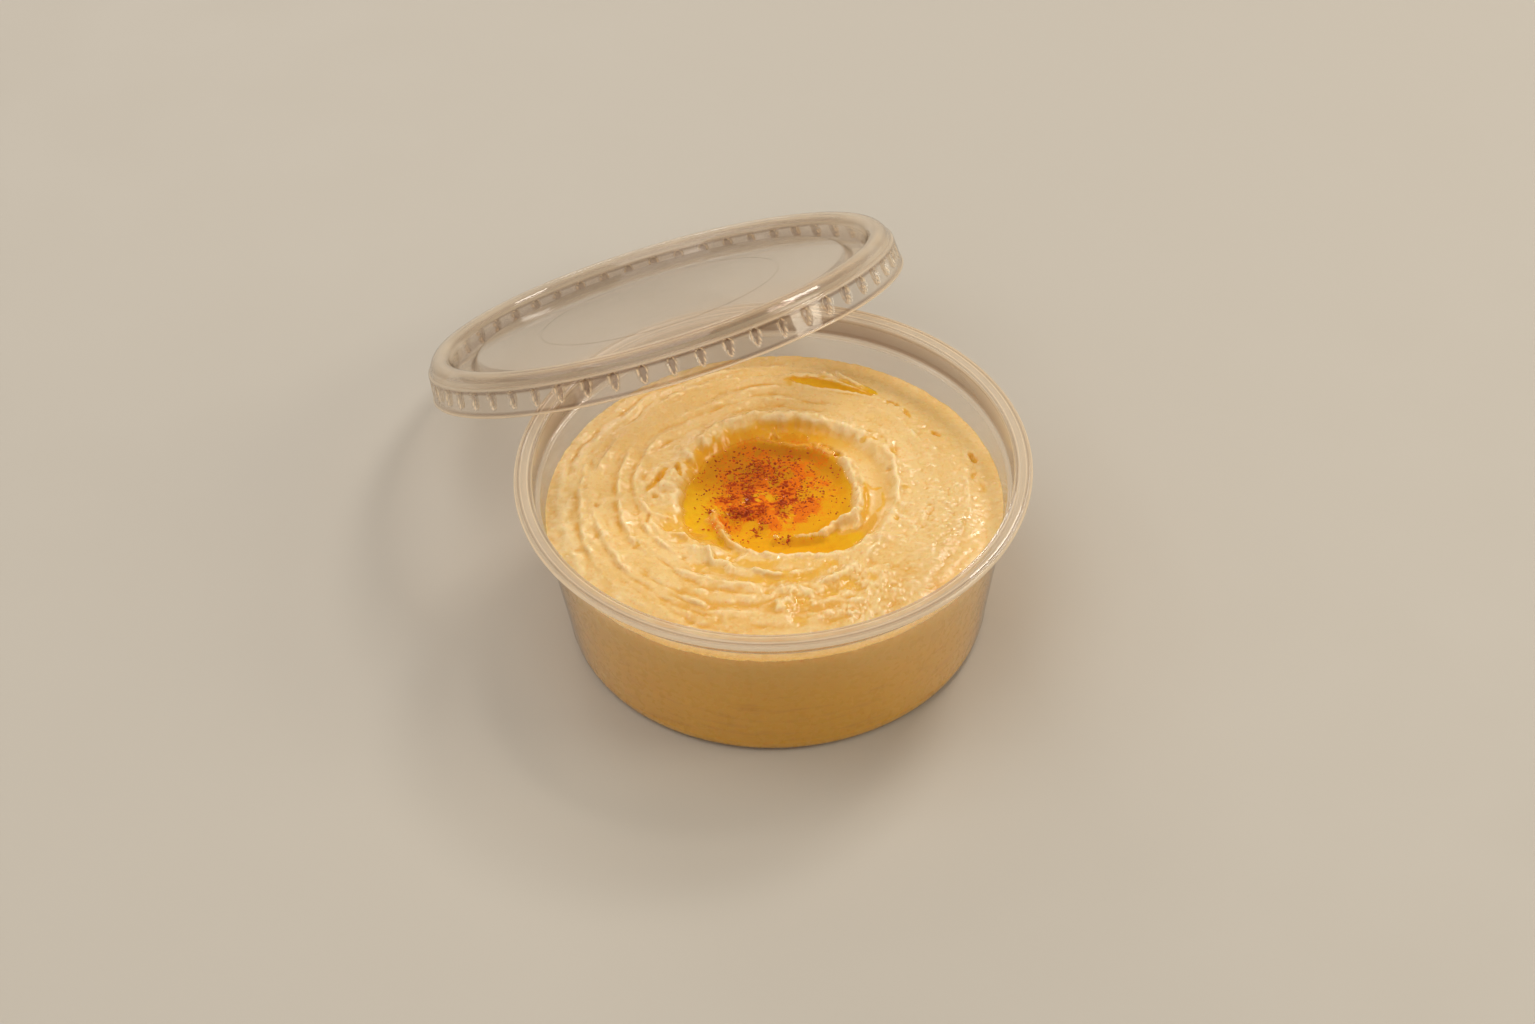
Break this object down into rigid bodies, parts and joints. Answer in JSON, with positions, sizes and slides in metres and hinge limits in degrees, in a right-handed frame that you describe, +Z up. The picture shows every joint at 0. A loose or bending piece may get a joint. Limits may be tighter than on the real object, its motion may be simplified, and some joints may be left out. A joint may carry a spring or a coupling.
{
  "type": "tub of hummus",
  "caption": "Round clear deli tub of spooned hummus with a pool of olive oil and paprika, its clear snap lid leaning on the rim.",
  "frame": {"origin": "middle of the tub's flat base, on the surface it stands on", "axes": "+Z up along the tub's axis; -Y towards the viewer's side; the lid leans towards +Y and -X"},
  "size_m": [0.1418, 0.1823, 0.0653],
  "materials": {
    "clear_tub": "thin clear polypropylene, smooth and slightly milky, glossy",
    "clear_lid": "thin clear vacuum-formed polypropylene, glossy",
    "hummus": "thick chickpea paste, moist satin",
    "olive_oil": "clear golden oil stained orange by paprika, wet gloss"
  },
  "bodies": {
    "root": {"tub": "clear_tub", "lid": "clear_lid", "hummus": "hummus", "olive_oil": "olive_oil", "oil_streak": "olive_oil"}
  },
  "joints": []
}
